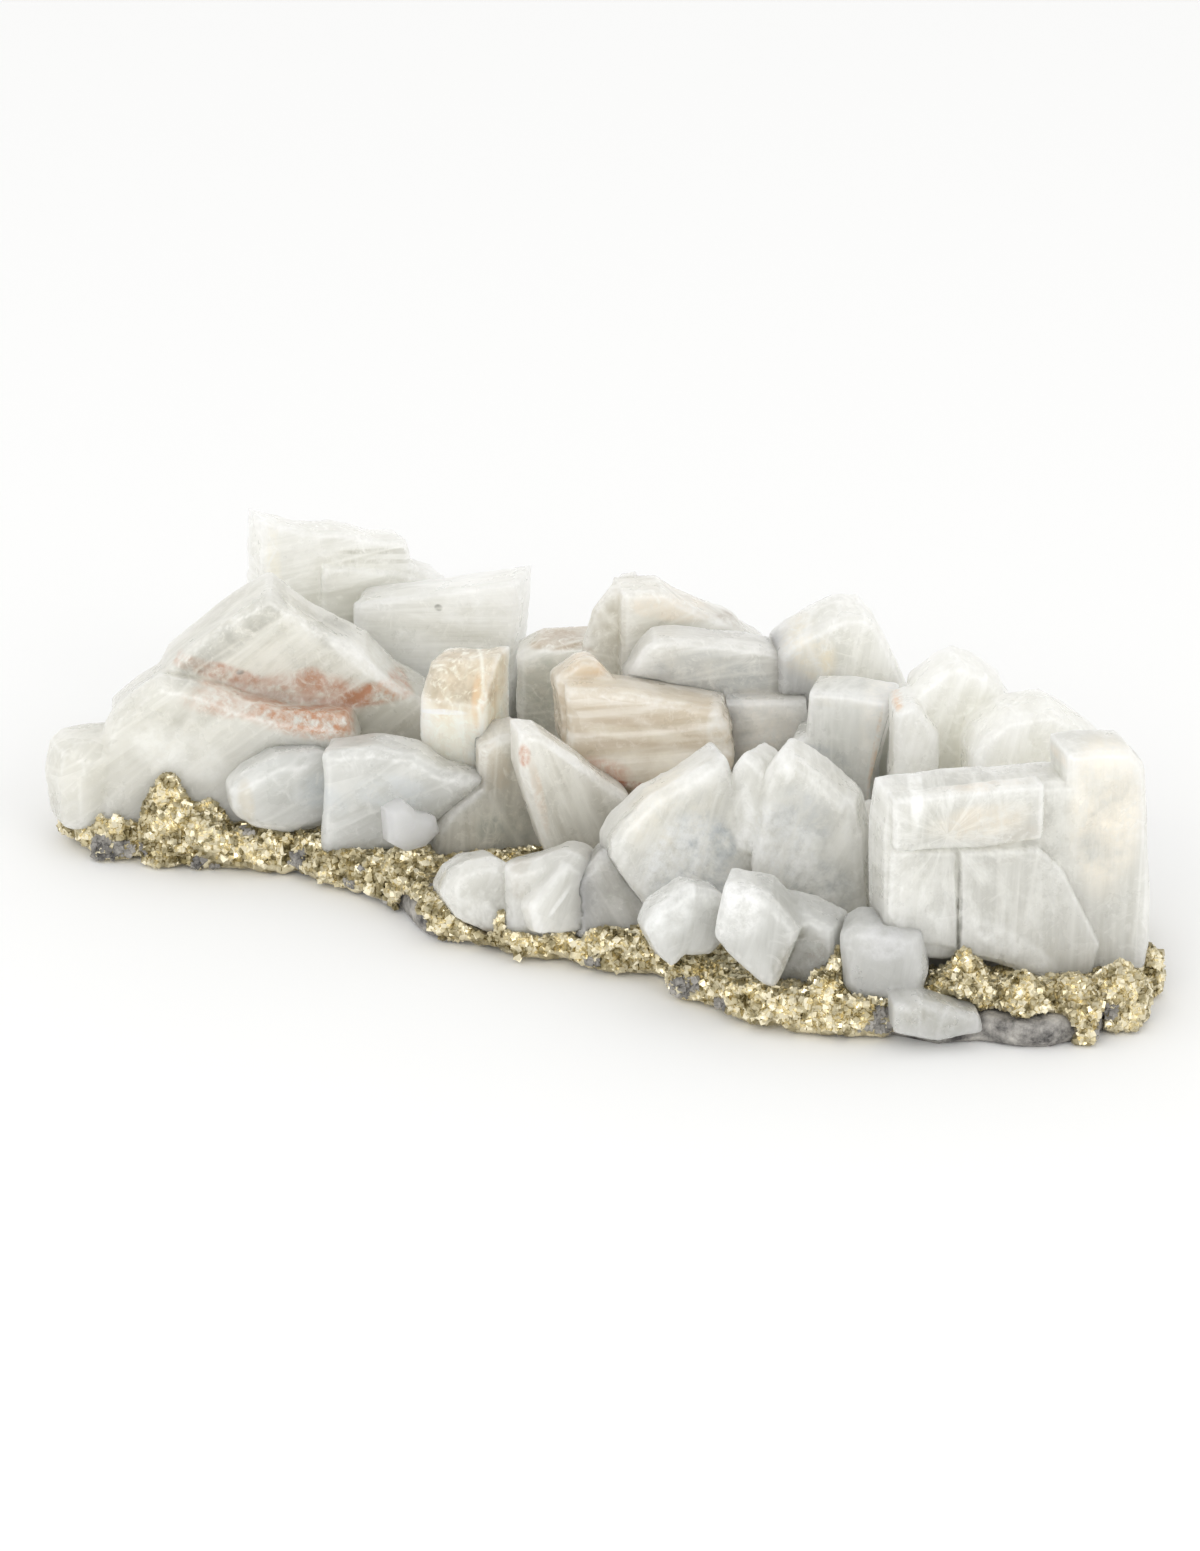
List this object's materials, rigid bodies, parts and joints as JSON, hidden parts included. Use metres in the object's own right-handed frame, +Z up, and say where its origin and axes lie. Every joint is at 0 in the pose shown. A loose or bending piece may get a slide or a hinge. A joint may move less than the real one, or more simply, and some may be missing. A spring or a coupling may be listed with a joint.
{
  "type": "barite specimen",
  "caption": "Cluster of milky tabular barite crystals grown together on a pyrite-crusted plate of dark rock, cut flat underneath to rest on a shelf or table",
  "frame": {"origin": "under the middle of the specimen's bounding box, on the surface that it rests on", "axes": "+Z up; +X along the specimen's length, from its tall left group of crystals to the large block at its right end; +Y to the back"},
  "size_m": [0.1574, 0.0714, 0.0388],
  "materials": {
    "milky_barite": "milky translucent barite with fine growth lines and a glassy surface",
    "blue_white_barite": "faintly blue translucent barite, glassy",
    "stained_barite": "milky translucent barite with rust-coloured iron stains",
    "peach_barite": "peach-tinted translucent barite",
    "beige_barite": "beige barite with fine level growth lines",
    "grey_barite": "grey translucent barite, glassy",
    "dark_barite": "dark grey-green translucent barite, glassy",
    "clear_barite": "nearly clear, colourless crystal",
    "pyrite": "brassy granular pyrite with glinting cube faces",
    "matrix_rock": "dark grey rough rock"
  },
  "bodies": {
    "root": {"right_block_barite": "milky_barite", "right_foot_barite": "clear_barite", "centre_point_barite": "milky_barite", "white_front_cluster": "milky_barite", "peach_block_barite": "peach_barite", "front_left_barite": "blue_white_barite", "clear_chip_barite": "clear_barite", "centre_front_barite": "milky_barite", "striped_barite": "beige_barite", "narrow_grey_barite": "grey_barite", "grey_foot_barite": "grey_barite", "dark_grey_barite": "dark_barite", "left_wedge_barite": "stained_barite", "cream_edge_barite": "blue_white_barite", "middle_plate_barite": "blue_white_barite", "left_slab_barite": "milky_barite", "left_back_barite": "milky_barite", "middle_back_barite": "grey_barite", "tall_back_barite": "milky_barite", "right_back_barite": "milky_barite", "rear_right_barite": "blue_white_barite", "rear_middle_barite": "milky_barite", "rear_left_barite": "blue_white_barite", "left_end_barite": "milky_barite", "left_inner_barite": "blue_white_barite", "centre_inner_barite": "grey_barite", "middle_inner_barite": "grey_barite", "right_inner_barite": "milky_barite", "pyrite_crust": "pyrite", "matrix_rock": "matrix_rock"}
  },
  "joints": []
}
